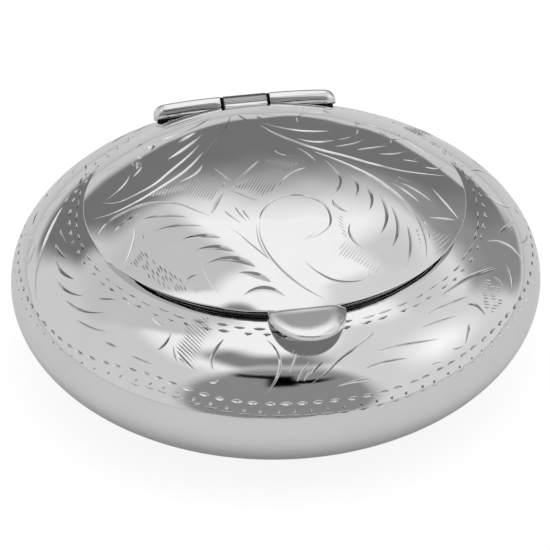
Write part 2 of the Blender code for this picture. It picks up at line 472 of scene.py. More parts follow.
# Each cut: its points, its width, and where along it the graver went deepest.
PLUME_RIGHT = [
    ([(0, 8.6), (1, 6.5), (2.3, 4.8), (4.3, 2.8), (6.6, 1.3), (9.3, -0.3), (11.9, -1.1), (13.8, -1),
      (16.4, -0.2)], 0.38, 0.4),
    ([(4, 2.3), (5.4, 1), (7, -0.6), (8.5, -2.2), (9.8, -3.9), (11.2, -6.2), (11.9, -8.2),
      (12.1, -10.5), (11.7, -12.7)], 0.38, 0.42),
    ([(0, 9.5), (1.3, 8), (3.3, 6.7), (6.3, 6.3)], 0.34, 0.68),
    ([(2.9, 5.2), (3.9, 4.3), (5.1, 4), (6.4, 4.3)], 0.3, 0.6),
    ([(6.3, 3), (7.5, 3.3), (9.6, 4.8)], 0.22, 0.35),
    ([(8.2, 2.3), (9.4, 2.7), (11.3, 3.6)], 0.24, 0.35),
    ([(10.2, 1.7), (11.7, 2), (13.2, 3.2)], 0.22, 0.4),
    ([(12.3, 1), (13, 1.05), (13.9, 1.1)], 0.2, 0.5),
    ([(13.5, 1.4), (14, 1.9), (14.7, 2.7)], 0.14, 0.3),
    ([(14.3, 0.4), (15.5, 0.6), (16.2, 1.4)], 0.26, 0.4),
    ([(-0.2, 12.6), (0.6, 11.6), (2.3, 10.5)], 0.36, 0.5),
    ([(0.8, 14), (1.7, 13.2), (2.8, 12.6)], 0.34, 0.4),
    ([(0.1, 11.1), (0.2, 10.6), (0.6, 10.1)], 0.26, 0.5),
    ([(1.6, 15), (2.5, 14.3), (3.6, 13.9)], 0.26, 0.4),
    ([(5, 11.7), (5.8, 11.55), (6.8, 11.6)], 0.26, 0.5),
    ([(6.8, 12.6), (7, 12), (7.5, 11.2)], 0.16, 0.4),
    ([(4.2, 13.4), (4.7, 13.1), (5.1, 13.4)], 0.16, 0.5),
    ([(11.8, 4.2), (12.4, 5.4), (13.4, 5.7), (14.4, 4.4), (15.4, 2.5)], 0.22, 0.3),
    ([(10.3, 8.7), (11, 8.3), (12, 8.4)], 0.22, 0.5),
    ([(9.2, 9.2), (9.5, 8.5), (9.9, 8)], 0.2, 0.4),
    ([(6.75, -2.1), (7.1, -3.7), (6.6, -5.5)], 0.24, 0.45),
    ([(7.7, -3.3), (8.1, -5.3), (7.5, -7.5)], 0.28, 0.45),
    ([(8.7, -4.9), (9.1, -7.4), (7.9, -10.5)], 0.3, 0.45),
    ([(9.65, -6.7), (9.8, -9.2), (8.6, -12)], 0.3, 0.45),
    ([(10.7, -9.1), (10.6, -11.2), (9.3, -14.3)], 0.28, 0.35),
    ([(12.2, -7.9), (12.6, -9.1), (12.5, -10.4)], 0.22, 0.35),
    ([(10.4, -3.2), (11.3, -4.2), (12.5, -5.7)], 0.28, 0.45),
    ([(10.8, -2.8), (12.4, -3.9), (13.8, -5.3)], 0.26, 0.35),
    ([(11.2, -2.2), (11.7, -2.5), (12.4, -2.7)], 0.24, 0.4),
    ([(14.2, -3.1), (15.1, -5), (16, -6.7)], 0.26, 0.6),
    ([(12.9, -7.6), (14.3, -7.3), (15.6, -7)], 0.24, 0.6),
]
PLUME_LEFT = [
    ([(-4, 12.9), (-5.4, 12.2), (-7.1, 11.7)], 0.3, 0.5),
    ([(-4.3, 12.4), (-5.8, 10.7), (-7.8, 9.3)], 0.36, 0.6),
    ([(-5, 14.2), (-6.9, 13.2), (-9.3, 12.3)], 0.3, 0.5),
    ([(-4.6, 13.6), (-6.6, 12.6), (-8.6, 12)], 0.24, 0.5),
    ([(-6.6, 14.6), (-7.8, 14), (-9.2, 13.6)], 0.22, 0.5),
    ([(-7.6, 9.9), (-9.2, 9.2), (-10.8, 9.5)], 0.3, 0.5),
    ([(-6.1, 9), (-7.2, 8.1), (-8.3, 6.9)], 0.46, 0.5),
    ([(-5.4, 8.5), (-6.8, 6.6), (-9.4, 4.3)], 0.42, 0.6),
    ([(-6.1, 6.1), (-7.2, 4.4), (-9.6, 1.8), (-11.2, 0.4), (-13.2, -0.3), (-14.4, -0.4), (-16, 0.9)],
     0.3, 0.4),
    ([(-6, 4.4), (-7, 2.8), (-8.4, 1.2), (-10.4, -0.2), (-13.4, -1.5), (-15.6, -1.6), (-17.1, -0.9)],
     0.32, 0.4),
    ([(-6.4, 2), (-6.9, 1), (-8.9, -0.2)], 0.28, 0.45),
    ([(-2.3, 12), (-3, 9.7), (-4.1, 7.2)], 0.18, 0.5),
    ([(-1.6, 12), (-1.3, 11), (-0.7, 9.4)], 0.18, 0.35),
    ([(-13, 3.8), (-13.8, 2.1), (-15.6, 0.9)], 0.2, 0.5),
    ([(-11.8, 4.4), (-12.2, 3.7), (-12.8, 3)], 0.22, 0.5),
    ([(-13.7, 6.8), (-14.5, 6.8), (-15.3, 6.4)], 0.26, 0.5),
    ([(-11.2, 10.2), (-11.4, 9.8), (-11.8, 9.5)], 0.2, 0.5),
    ([(-10.2, 8.5), (-10.3, 8), (-10.6, 7.4)], 0.26, 0.5),
    ([(-16.9, -3.6), (-15.9, -2.6), (-14.2, -2.2), (-12.2, -2.2), (-10.6, -2.8), (-9.4, -3.5),
      (-8.1, -4.9), (-6.8, -6.3)], 0.34, 0.35),
    ([(-6.8, -6.3), (-5.2, -8.4), (-3.8, -10.7), (-2.5, -12.7)], 0.16, 0.8),
    ([(-15.4, -4.2), (-14.6, -3.7), (-12.9, -3.3)], 0.38, 0.5),
    ([(-14.1, -4.1), (-13.7, -5.1), (-14, -6.6), (-14.6, -7.9), (-15.1, -8.6)], 0.2, 0.6),
    ([(-12.7, -4.2), (-10.9, -4.6), (-8.9, -5.7)], 0.46, 0.5),
    ([(-12, -6.2), (-10.1, -6.4), (-7.6, -7.4)], 0.3, 0.5),
    ([(-9.8, -8.3), (-8.3, -8.4), (-6.3, -9.3)], 0.46, 0.6),
    ([(-8.8, -10), (-7.3, -10.1), (-5.4, -11.2)], 0.52, 0.6),
    ([(-8.2, -11.8), (-6.4, -11.7), (-4.9, -12.3), (-3.8, -13.3)], 0.58, 0.62),
    ([(-5.5, -13.4), (-4.2, -13.9), (-2.7, -15)], 0.54, 0.6),
    ([(-5.4, -15.7), (-4, -15.4), (-1.7, -16.5)], 0.52, 0.55),
    ([(-13.4, -6.7), (-13.2, -6.6), (-12.9, -6.3)], 0.22, 0.6),
    ([(-10, -12.8), (-9.5, -12.6), (-8.9, -12.6)], 0.16, 0.4),
]
SCROLLS = [
    ([(-2.6, -7.9), (-2, -6.4), (-0.9, -5.3), (0.5, -4.8), (1.9, -5), (3, -5.8), (3.7, -7), (3.8, -8.2),
      (3.5, -9.4), (2.6, -10.3), (0.9, -10.9)], 0.26, 0.42),
    ([(-2.6, -7.9), (-2.85, -9.2), (-2.7, -11.2), (-1.95, -13.3), (-0.8, -15), (0.4, -16.2),
      (1.8, -17.1)], 0.2, 0.6),
    ([(-2.9, -8.2), (-3.1, -9.6), (-2.9, -11.5), (-2.2, -13.3)], 0.1, 0.5),
    ([(0.5, -13.2), (1.5, -14.5), (2.6, -15.3), (3.8, -15.6), (5.1, -15.5), (5.9, -15.2),
      (6.2, -14.3)], 0.2, 0.5),
    ([(4.7, 0.9), (5.4, -1), (5.7, -2.2), (5.5, -3.7), (4.9, -4.7), (3.9, -5.4)], 0.2, 0.6),
    ([(2.6, 3.2), (3.5, 1.8), (4, 0.1)], 0.18, 0.5),
    ([(0.5, 3.2), (1, 2.2), (2.2, 1.8)], 0.14, 0.4),
    ([(2.9, -0.5), (1.7, -1), (0.6, -2), (-0.1, -3.2)], 0.18, 0.4),
    ([(6.7, 4.4), (8, 4.9), (8.8, 5.8), (9.2, 7.6), (9.1, 9.2)], 0.14, 0.3),
    ([(4.8, 11.1), (3.8, 9.8), (3.9, 7.7)], 0.12, 0.4),
    ([(-12.7, 6.3), (-12.55, 5.6), (-12.5, 4.9)], 0.14, 0.4),
    ([(-4.1, 7.2), (-5.3, 5.2), (-6.1, 3.6)], 0.08, 0.5),
    ([(-5.5, 1.3), (-5, 0), (-4.1, -1.9)], 0.22, 0.6),
    ([(-4.1, -1.9), (-2.8, -0.4), (-1.2, 1.5)], 0.24, 0.6),
    ([(-4.9, -2.7), (-3.6, -3.8), (-2.3, -5.2)], 0.26, 0.5),
    ([(-4.9, -2.7), (-5.6, -3.8), (-6.7, -5.9)], 0.4, 0.6),
    ([(-5.5, -5.8), (-5, -6.8), (-4.2, -8)], 0.14, 0.3),
    ([(-4.5, -5.5), (-4.2, -6.6), (-3.7, -7.9)], 0.14, 0.3),
    ([(-3.9, -6.1), (-3.7, -6.8), (-3.4, -7.8)], 0.14, 0.3),
    ([(4.4, -5.8), (4.6, -6.8), (5.5, -7.7)], 0.36, 0.5),
    ([(5.4, -9.2), (5.2, -10.9), (6.2, -12.3)], 0.24, 0.5),
    ([(-8.4, -10.5), (-8.3, -12.5), (-7.9, -14), (-6.9, -15.7)], 0.1, 0.5),
    ([(0.9, -10.9), (1.6, -10.5), (2, -10.3)], 0.08, 0.5),
]


def cuts(table, lean, slope=0.55, dirt=0.75):
    return [Stroke(points, width * BOLDNESS, lean, slope, fullest, 6 + 3 * len(points), dirt)
            for points, width, fullest in table]


def hatching(outline, angle, pitch, rng, width, dash, gaps, dirt=0.9):
    """Parallel fine cuts filling an outline, each broken into dashes."""
    ragged, shortest, wobble = 0.2, 0.25, 0.02
    outline = np.array(outline, float)
    along = np.array([cos(radians(angle)), sin(radians(angle))])
    across = np.array([-along[1], along[0]])
    place = outline @ across
    strokes = []
    for level in np.arange(place.min() + pitch / 2, place.max(), pitch):
        crossings = []
        for a, b in zip(outline, np.roll(outline, -1, axis=0)):
            before, after = a @ across - level, b @ across - level
            if before * after < 0:
                crossings.append((a + (b - a) * before / (before - after)) @ along)
        crossings.sort()
        for low, high in zip(crossings[::2], crossings[1::2]):
            low, high = low + rng.uniform(0, ragged), high - rng.uniform(0, ragged)
            count = max(1, round((high - low) / dash))
            for k in range(count):
                if high - low < shortest or rng.random() < gaps:
                    continue
                ends = np.array([k + 0.05, k + 0.95]) * (high - low) / count + low
                middle = across * (level + rng.uniform(-wobble, wobble))
                points = [middle + along * ends[0], middle + along * ends[1]]
                strokes.append(Stroke(points, width * 1.3, slope=0.9, fullest=0.4, steps=5, dirt=dirt))
    return strokes


# Each patch of fine cuts: its outline, their angle, pitch and width, how long each dash of them
# is, and the share of dashes left out. A patch with dashes left out is cut deeper and dirtier.
WHOLE = 9.0
LID_HATCHING = [
    ([(-12.3, -1), (-10.6, -0.5), (-8, -0.4), (-6.8, 0.9), (-5.8, 0.8), (-4.5, -1.9), (-5.6, -2.7),
      (-6.6, -4.5), (-8, -4), (-9.6, -2.6), (-11, -2)], 60, 0.27, 0.11, WHOLE, 0),
    ([(-2.4, -1.1), (-1, 0), (0.5, -1.6), (-0.4, -3.2), (-1.2, -4.4), (-2.2, -4.9), (-4.4, -2.6),
      (-3.8, -2)], 60, 0.27, 0.11, WHOLE, 0),
    ([(-1.1, 0.3), (-0.5, 2), (0.6, 1.5), (2.6, 0.4), (1.3, -0.8), (0.7, -1.4)], 60, 0.27, 0.1, WHOLE, 0),
    ([(4.2, -7.9), (5, -8.5), (5, -11), (4.4, -11)], -50, 0.3, 0.1, WHOLE, 0),
    ([(4.2, -11.4), (5, -11), (6.4, -12.6), (7.3, -14.1), (6.6, -14.8), (3.4, -13.2)],
     50, 0.28, 0.09, WHOLE, 0),
    ([(11.3, -9.2), (11.9, -9.2), (11.8, -11.6), (11.4, -11.4)], -50, 0.28, 0.1, WHOLE, 0),
    ([(12.8, -9.2), (15.2, -8.7), (13.9, -11.1), (12.4, -12.3)], 50, 0.3, 0.1, WHOLE, 0),
    ([(-14.6, -8.6), (-13.4, -7.6), (-12.4, -9.6), (-10.6, -12), (-9.9, -14), (-11.2, -13.7),
      (-13, -11.4)], -74, 0.23, 0.12, 1.2, 0.1),
    ([(-9.6, -13.2), (-8.8, -13.4), (-8.7, -14.6), (-9.4, -14.5)], -80, 0.2, 0.1, WHOLE, 0),
    ([(-12.4, 5.9), (-11.6, 5.6), (-11.6, 4.6), (-12.6, 4)], 10, 0.2, 0.1, WHOLE, 0),
    ([(-12, 7.2), (-11.2, 6.8), (-11.6, 6.1), (-12.2, 6.2)], 10, 0.2, 0.1, WHOLE, 0),
    ([(-11.1, 8.6), (-10.2, 8.8), (-10.4, 7.4), (-11, 7.8)], 30, 0.22, 0.12, WHOLE, 0),
    ([(10.4, 7.6), (11, 7.8), (12.2, 5.6), (11.6, 5.2)], 60, 0.2, 0.14, 0.5, 0.3),
    ([(12, 7.8), (13, 7.6), (14.6, 5.4), (14, 5)], 60, 0.3, 0.14, 0.6, 0.5),
]


def lid_strokes():
    rng = np.random.default_rng(7)
    strokes = cuts(PLUME_RIGHT, 0.25) + cuts(PLUME_LEFT, 0.25) + cuts(SCROLLS, 0.3)
    for outline, angle, pitch, width, dash, gaps in LID_HATCHING:
        strokes += hatching(outline, angle, pitch, rng, width, dash, gaps, dirt=1.0 if gaps else 0.35)
    limit = LID_RADIUS - LID_BEVEL - 0.1
    return [s for s in strokes if (np.hypot(s.line[:, 0], s.line[:, 1]) + s.half).max() < limit]


# ---------------------------------------------------------------------------------------------
# Engraving on the shoulder


# The shoulder unrolled: rho is the distance from the axis to the rim and then along the arc.
DENSE = 3000
dense_angles = np.linspace(RIM_ANGLE, 0, DENSE)
dense_arc = shoulder_arc(RIM_ANGLE, 0, steps=DENSE)
dense_rho = OPENING_RADIUS + np.concatenate(
    [[0], np.cumsum(np.linalg.norm(np.diff(dense_arc, axis=0), axis=1))])
SHOULDER_OUT = dense_rho[-1]


def on_shoulder(azimuth, arc):
    """Plan point of the unrolled shoulder for an azimuth and an arc angle in degrees."""
    rho = np.interp(radians(arc), dense_angles[::-1], dense_rho[::-1])
    return rho * sin(radians(azimuth)), -rho * cos(radians(azimuth))


def shoulder_surface(plan):
    """The shoulder over its unrolled plan. Its rim dips beside the tab and rises elsewhere."""
    rho = np.hypot(plan[:, 0], plan[:, 1])
    angle = np.interp(rho, dense_rho, dense_angles)
    normal = unit(np.stack([np.cos(angle) / SHOULDER_WIDTH, np.sin(angle) / SHOULDER_ARC_HEIGHT], 1))
    fade = np.clip(angle / radians(15), 0, 1) * np.clip((RIM_ANGLE - angle) / radians(5), 0, 1)
    offset = ripple(plan) * fade
    rolled = np.clip((RIM_ROLL - (rho - OPENING_RADIUS)) / RIM_ROLL, 0, 1.1)
    direction = plan / np.maximum(rho, 1e-9)[:, None]
    towards_tab = 1.25 * np.clip(-direction[:, 1], 0, 1) ** 3 - 0.25
    past_belly = np.maximum(rho - SHOULDER_OUT, 0)
    radius = np.interp(rho, dense_rho, dense_arc[:, 0]) + offset * normal[:, 0]
    height = np.interp(rho, dense_rho, dense_arc[:, 1]) + offset * normal[:, 1]
    height = height - past_belly - RIM_ROLL * towards_tab * rolled ** 2
    return np.concatenate([direction * radius[:, None], height[:, None]], 1)


def shoulder_cut(points, width, **style):
    return Stroke([on_shoulder(azimuth, arc) for azimuth, arc in points], width, dirt=1.0, **style)


# Cuts on the shoulder, as on the lid, with points of azimuth and arc angle.
LEAVES_LEFT = [
    ([(-88, 46.6), (-83, 47.4), (-79, 49.7)], 0.3, 0.4), ([(-84, 44.6), (-77, 44.2), (-71, 46.8)], 0.36, 0.6),
    ([(-75, 40), (-70, 40.8), (-64, 44.8)], 0.28, 0.4), ([(-68, 37.6), (-62, 38.8), (-55, 45)], 0.28, 0.4),
    ([(-61, 34), (-56, 35), (-51, 37.5)], 0.26, 0.4), ([(-50.5, 32.2), (-49, 32.6), (-47, 32.6)], 0.32, 0.4),
    ([(-43, 32), (-40, 31.5), (-37, 31.4)], 0.2, 0.5), ([(-60, 48), (-58, 50), (-55.5, 52)], 0.26, 0.4),
    ([(-52, 53.4), (-50, 53.8), (-48, 54)], 0.22, 0.4), ([(-43, 52), (-41, 51), (-38.5, 50.7)], 0.28, 0.6),
    ([(-93, 50), (-89, 50.4), (-86, 51.5)], 0.22, 0.4),
]
CUTS_LEFT = [
    ([(-115, 49), (-111, 45), (-109, 40), (-109, 35)], 0.42, 0.7),
    ([(-108, 50), (-104, 43), (-102, 35), (-101.5, 28), (-103, 23)], 0.42, 0.65),
    ([(-104, 50), (-96, 45), (-89, 39), (-83, 32), (-77, 26), (-75, 24)], 0.38, 0.4),
    ([(-99, 36), (-97.5, 33), (-96, 29)], 0.5, 0.6), ([(-97, 36), (-94, 31), (-91, 25)], 0.34, 0.5),
    ([(-94, 36), (-91, 33), (-88, 28)], 0.4, 0.6), ([(-36, 49), (-36, 43), (-37.2, 38.6)], 0.24, 0.6),
    ([(-32.6, 41), (-30, 37), (-27, 33.4)], 0.3, 0.5), ([(-34, 43), (-33, 39), (-31.4, 35)], 0.2, 0.5),
]
CUTS_RIGHT = [
    ([(-22, 50.5), (-23.5, 45), (-24, 40), (-22.7, 34)], 0.34, 0.5),
    ([(-11.5, 51.5), (-9, 47), (-8, 41), (-8.5, 35), (-10, 29), (-12, 24)], 0.26, 0.5),
    ([(-4, 45), (-5, 40), (-6, 35.5)], 0.18, 0.5), ([(-1, 40.5), (-3, 36), (-4.5, 31)], 0.22, 0.5),
    ([(2, 39.5), (0, 37), (-1.5, 34)], 0.24, 0.5), ([(-0.5, 37), (-2, 34), (-3, 31)], 0.2, 0.5),
    ([(16.6, 48.8), (12, 45), (6, 40), (2, 34), (-2, 28.8)], 0.3, 0.3),
    ([(4, 26.5), (7, 27.4), (12, 26.6)], 0.26, 0.6),
    ([(10, 32), (14, 33.2), (18, 32.7), (21.5, 31.4)], 0.32, 0.5),
    ([(-23.5, 29), (-22.3, 29.2), (-21.5, 31)], 0.2, 0.5),
    ([(14.5, 39), (21, 38.6), (27, 36), (31, 33.8)], 0.26, 0.4),
    ([(31, 46.7), (36, 46.4), (42, 44.4), (46, 42.4)], 0.36, 0.55),
    ([(27, 42.4), (33, 41.4), (39, 38.6)], 0.22, 0.5),
    ([(38, 50.3), (45, 50.1), (51, 48.4), (56, 45.2), (60, 41.8)], 0.38, 0.5),
    ([(52, 47), (57, 43.4), (60, 40.4)], 0.22, 0.5), ([(26, 23.5), (27.5, 23.2), (29, 22)], 0.22, 0.5),
    ([(40, 32.5), (38, 28), (36, 24.5)], 0.3, 0.4), ([(36, 24.5), (34, 25), (32.5, 26.5)], 0.16, 0.5),
    ([(43.5, 40), (45, 38), (45.6, 34), (45.4, 30)], 0.34, 0.35),
    ([(56.5, 40), (57, 37), (56.5, 33.5)], 0.28, 0.5),
    ([(63.5, 36.5), (60.5, 31.5), (58, 28)], 0.24, 0.4),
    ([(67, 50), (70, 44), (71, 38), (68, 25)], 0.36, 0.5),
    ([(73, 45), (78, 41), (83, 34)], 0.34, 0.5), ([(75, 33), (77, 29), (82, 25)], 0.26, 0.5),
]
HATCH_LEFT = [(-35.6, 55), (-33, 59), (-28, 59.5), (-24.8, 51), (-25.6, 38), (-27.6, 33.6), (-31, 36.5),
              (-34.6, 44), (-34, 50)]
HATCH_RIGHT = [(46.6, 34), (49.6, 41.5), (54.6, 42.6), (56.4, 34), (53.6, 27), (48, 28.5)]


def turned_cuts(table, turn, slope=0.45):
    moved = [([on_shoulder(azimuth + turn, arc) for azimuth, arc in points], width, fullest)
             for points, width, fullest in table]
    return cuts(moved, 0.3, slope, dirt=1.0)


def shoulder_hatching(outline, turn, direction, *style):
    """Hatching of an outline on the shoulder, along the direction from one point to another."""
    placed = [on_shoulder(azimuth + turn, arc) for azimuth, arc in outline]
    (x0, y0), (x1, y1) = (on_shoulder(azimuth + turn, arc) for azimuth, arc in direction)
    return hatching(placed, degrees(atan2(y1 - y0, x1 - x0)), *style)


def from_front(azimuth):
    return (azimuth + 180) % 360 - 180


def belly_row(azimuth):
    """Arc angle of the row of pricks round the belly: level, with a rise at the front left."""
    away = from_front(azimuth)
    rise = 6 * np.exp(-((away + 37) / 13) ** 2) - 1.6 * np.exp(-((away - 16) / 14) ** 2)
    return 20 + rise + 1.3 * np.exp(-((away - 48) / 12) ** 2)


def belly_pricks(rng, count=104):
    """Two rows of pricks round the belly, and under them at the front a scalloped line."""
    strokes = []
    for i in range(count):
        azimuth = i * 360 / count + rng.uniform(-0.3, 0.3)
        arc = belly_row(azimuth) + rng.uniform(-0.2, 0.2)
        length = rng.uniform(1, 1.35)
        ends = [(azimuth - length, arc), (azimuth, arc + 0.1), (azimuth + length, arc)]
        strokes.append(shoulder_cut(ends, 0.36, lean=0.1, slope=0.6, fullest=0.5, steps=7))
        low = arc - 4.7 + rng.uniform(-0.2, 0.2)
        ends = [(azimuth + 1.2, low - 0.9), (azimuth + 1.9, low + 0.9)]
        strokes.append(shoulder_cut(ends, 0.3, lean=0.2, slope=0.6, steps=5))
        if abs(from_front(azimuth)) < 42:
            ends = [(azimuth + 0.2, low - 1.6), (azimuth + 1.7, low - 2.6), (azimuth + 3.2, low - 1.7)]
            strokes.append(shoulder_cut(ends, 0.2, lean=0.2, slope=0.3, steps=7))
    return strokes


def rim_dashes(rng):
    """Two rows of broken dashes round the rim, the lower one with a spot at each dash."""
    strokes = []
    for arc, pitch, long, spotted in ((56.3, 5.6, 2.2, False), (53.6, 5.2, 1.5, True)):
        for i in range(int(360 / pitch)):
            azimuth = i * pitch + rng.uniform(-0.8, 0.8)
            half = long * rng.uniform(0.75, 1.2)
            level = arc + 1.1 * cos(radians(azimuth + 95)) + rng.uniform(-0.3, 0.3)
            ends = [(azimuth - half, level + 0.1), (azimuth, level), (azimuth + half, level + 0.1)]
            strokes.append(shoulder_cut(ends, rng.uniform(0.2, 0.32), lean=-0.3, slope=0.95, steps=6))
            if spotted:
                spot = [(azimuth - 0.5, level + 0.3), (azimuth + 0.3, level - 0.7)]
                strokes.append(shoulder_cut(spot, 0.36, slope=0.9, steps=4))
    return strokes


def shoulder_strokes():
    """All the cuts: those seen from the front, and turned repeats that fill the back."""
    rows_rng = np.random.default_rng(3)
    strokes = belly_pricks(rows_rng) + rim_dashes(rows_rng)
    rng = np.random.default_rng(11)
    for turn in (0, -66):
        strokes += turned_cuts(LEAVES_LEFT, turn)
    strokes += turned_cuts(CUTS_LEFT, 0, slope=0.8)
    for turn in (0, 112):
        strokes += turned_cuts(CUTS_RIGHT, turn)
        across = [(-34, 51.5), (-27, 44.5)]
        strokes += shoulder_hatching(HATCH_LEFT, turn * 1.4, across, 0.27, rng, 0.12, WHOLE, 0.05)
        down = [(49, 41), (52, 36)]
        strokes += shoulder_hatching(HATCH_RIGHT, turn, down, 0.32, rng, 0.16, 0.9, 0.12)
    return strokes


# ---------------------------------------------------------------------------------------------
# Pieces


def dent(x, y):
    """Depth of the small dent at the front of the lid."""
    away = (x - DENT_PLACE[0]) ** 2 + (y - DENT_PLACE[1]) ** 2
    return DENT_DEPTH * np.exp(-away / DENT_SIZE ** 2)


def make_lid(material):
    """Domed plate with a softened edge, lower towards the hinge than a level lid would be."""
    skin_radius = LID_RADIUS - LID_BEVEL
    edge_slope = atan2(DOME_POWER * DOME_RISE / LID_RADIUS, 1)

    def surface(plan):
        x, y = plan[:, 0], plan[:, 1]
        radius = np.hypot(x, y)
        fade = np.clip((skin_radius - radius) / 1.5, 0, 1)
        height = dome_height(radius) + ripple(plan) * fade - (back_drop(y) + dent(x, y))
        return np.concatenate([plan, height[:, None]], 1)

    def inside(x, y, margin=0.25):
        return margin == 0 or hypot(x, y) < skin_radius - margin

    shell = Shell()
    ring, = add_skin(shell, [circle(skin_radius, AROUND)], inside, surface, lid_strokes())
    skin_count = len(shell.verts)
    top = float(dome_height(skin_radius))
    centre = (skin_radius - LID_BEVEL * sin(edge_slope), top - LID_BEVEL * cos(edge_slope))
    bevel = bend(centre, LID_BEVEL, 90 - degrees(edge_slope), 0)
    outer, lower = bevel[-1][0], bevel[-1][1] - 0.03
    inner = outer - LID_UNDERCUT
    below = [(radius, float(dome_height(radius)) - LID_PLATE) for radius in np.linspace(inner, 0, 20)]
    _, side = shell.turn(bevel, start=ring)
    _, low = shell.turn([bevel[-1], (outer, lower)], start=side)
    _, under = shell.turn([(outer, lower), below[0]], start=low)
    shell.turn(below, start=under)
    for i in range(skin_count, len(shell.verts)):
        x, y, z = shell.verts[i]
        shell.verts[i] = (x, y, z - back_drop(y) - dent(x, y))
    return shell.object("lid_plate", material)


def make_shoulder(material):
    """Shoulder with its engraved outside, and a plain inside that meets the turned rim."""
    def inside(x, y, margin=0.25):
        roll = RIM_ROLL if margin else 0
        return OPENING_RADIUS + roll + margin < hypot(x, y) < SHOULDER_OUT - margin

    shell = Shell()
    loops = [circle(OPENING_RADIUS + RIM_ROLL * k / 3, AROUND) for k in range(4)]
    loops.append(circle(SHOULDER_OUT, AROUND))
    rim, *_, belly = add_skin(shell, loops, inside, shoulder_surface, shoulder_strokes())
    rim_edge = (OPENING_RADIUS, dense_arc[0][1] - RIM_ROLL)
    inside_arc = shoulder_arc(0, RIM_ANGLE, SHEET)
    inside_arc[-1] = (OPENING_RADIUS, rim_edge[1] - 0.1)
    _, inner_belly = shell.turn([(BELLY_RADIUS, BELLY_HEIGHT), tuple(inside_arc[0])], start=belly)
    _, inner_rim = shell.turn(inside_arc, start=inner_belly)
    shell.turn([tuple(inside_arc[-1]), rim_edge], start=inner_rim, end=rim)
    return shell.object("body_shoulder", material)


def make_bowl(material):
    shell = Shell()
    belly, foot = shell.turn(bowl_arc(0, -pi / 2))
    shell.turn([(FOOT_RADIUS, 0), (0, 0)], start=foot)
    floor = shell.ring(0, SHEET)
    _, inner_foot = shell.turn([(0, SHEET), (FOOT_RADIUS, SHEET)], start=floor)
    _, inner_belly = shell.turn(bowl_arc(-pi / 2, 0, SHEET), start=inner_foot)
    lip = [(BELLY_RADIUS - SHEET, BELLY_HEIGHT), (BELLY_RADIUS, BELLY_HEIGHT)]
    shell.turn(lip, start=inner_belly, end=belly)
    return shell.object("body_bowl", material)


def soft_edges(outer, high, low, soft):
    """Outer side of a section from high to low, with both corners rounded."""
    return bend((outer - soft, high - soft), soft, 90, 0) + bend((outer - soft, low + soft), soft, 0, -90)


def make_band(name, low, high, material):
    """A thin turned band with softened edges."""
    inner = high.x - BAND_SHEET
    soft = BAND_EDGE
    section = soft_edges(high.x, high.z, low.z, soft)
    section += bend((inner + soft, low.z + soft), soft, -90, -180)
    section += bend((inner + soft, high.z - soft), soft, 180, 90)
    shell = Shell(192)
    first, last = shell.turn(section)
    shell.turn([section[-1], section[0]], start=last, end=first)
    return shell.object(name, material)


def along_hinge(direction, start=0.0):
    """Turns a piece made about Z so that it lies on the hinge axis, towards +X or -X."""
    turn = Matrix(((0, 0, direction, 0), (direction, 0, 0, 0), (0, 1, 0, 0), (0, 0, 0, 1)))
    place = hinge_axis + Vector((direction * start, 0, 0))
    return Matrix.Translation(place * MM) @ turn


def flatten(x, y, facing, amount):
    """Pull a tube's round section towards a square whose flats face the given angle."""
    return 1 - amount * cos(4 * (atan2(y, x) - radians(facing)))


def hinge_bow(along):
    """How much lower the outer tubes lie, by the distance from the middle of the hinge."""
    return HINGE_BOW * max(along - HINGE_BOW_START, 0) ** 2


def make_outer_knuckle(name, direction, material):
    """Outer tube: slightly square, bowed down, with a round nose and a bore for the pin."""
    start = outer_low.x
    length = outer_high.x - start
    nose_start = length - KNUCKLE_NOSE
    turns = np.linspace(pi / 2, 0, 16)
    section = [(KNUCKLE_RADIUS * cos(t) ** 0.6, nose_start + KNUCKLE_NOSE * sin(t)) for t in turns]
    section += [(KNUCKLE_RADIUS, z) for z in np.linspace(nose_start, KNUCKLE_EDGE, 12)[1:]]
    section += bend((KNUCKLE_RADIUS - KNUCKLE_EDGE, KNUCKLE_EDGE), KNUCKLE_EDGE, 0, -90)[1:]
    hole = PIN_RADIUS + BORE_CLEARANCE
    depth = pin_high.x - start + 0.3
    shell = Shell(64)
    _, face = shell.turn(section)
    outside_count = len(shell.verts)
    _, mouth = shell.turn([section[-1], (hole, 0)], start=face)
    _, end_ring = shell.turn([(hole, 0), (hole, depth)], start=mouth)
    shell.turn([(hole, depth), (0, depth)], start=end_ring)
    front_up = 118 if direction > 0 else 62
    for i, (x, y, z) in enumerate(shell.verts):
        size = flatten(x, y, front_up, KNUCKLE_SQUARE) if i < outside_count else 1
        sag = 0.8 * (KNUCKLE_RADIUS - hypot(x, y)) if z > nose_start else 0
        shell.verts[i] = (x * size, y * size - sag - hinge_bow(start + z), z)
    return shell.object(name, material, along_hinge(direction, start), reshaped=True)


def make_lid_knuckle(material):
    half = knuckle_high.x
    hole = PIN_RADIUS + BORE_CLEARANCE
    section = soft_edges(KNUCKLE_RADIUS, half, -half, KNUCKLE_EDGE)
    shell = Shell(64)
    first, last = shell.turn(section)
    for i, (x, y, z) in enumerate(shell.verts):
        size = flatten(x, y, 84, LID_KNUCKLE_SQUARE)
        shell.verts[i] = (x * size, y * size, z)
    _, mouth = shell.turn([section[-1], (hole, -half)], start=last)
    _, top = shell.turn([(hole, -half), (hole, half)], start=mouth)
    shell.turn([(hole, half), section[0]], start=top, end=first)
    return shell.object("lid_knuckle_tube", material, along_hinge(1), reshaped=True)


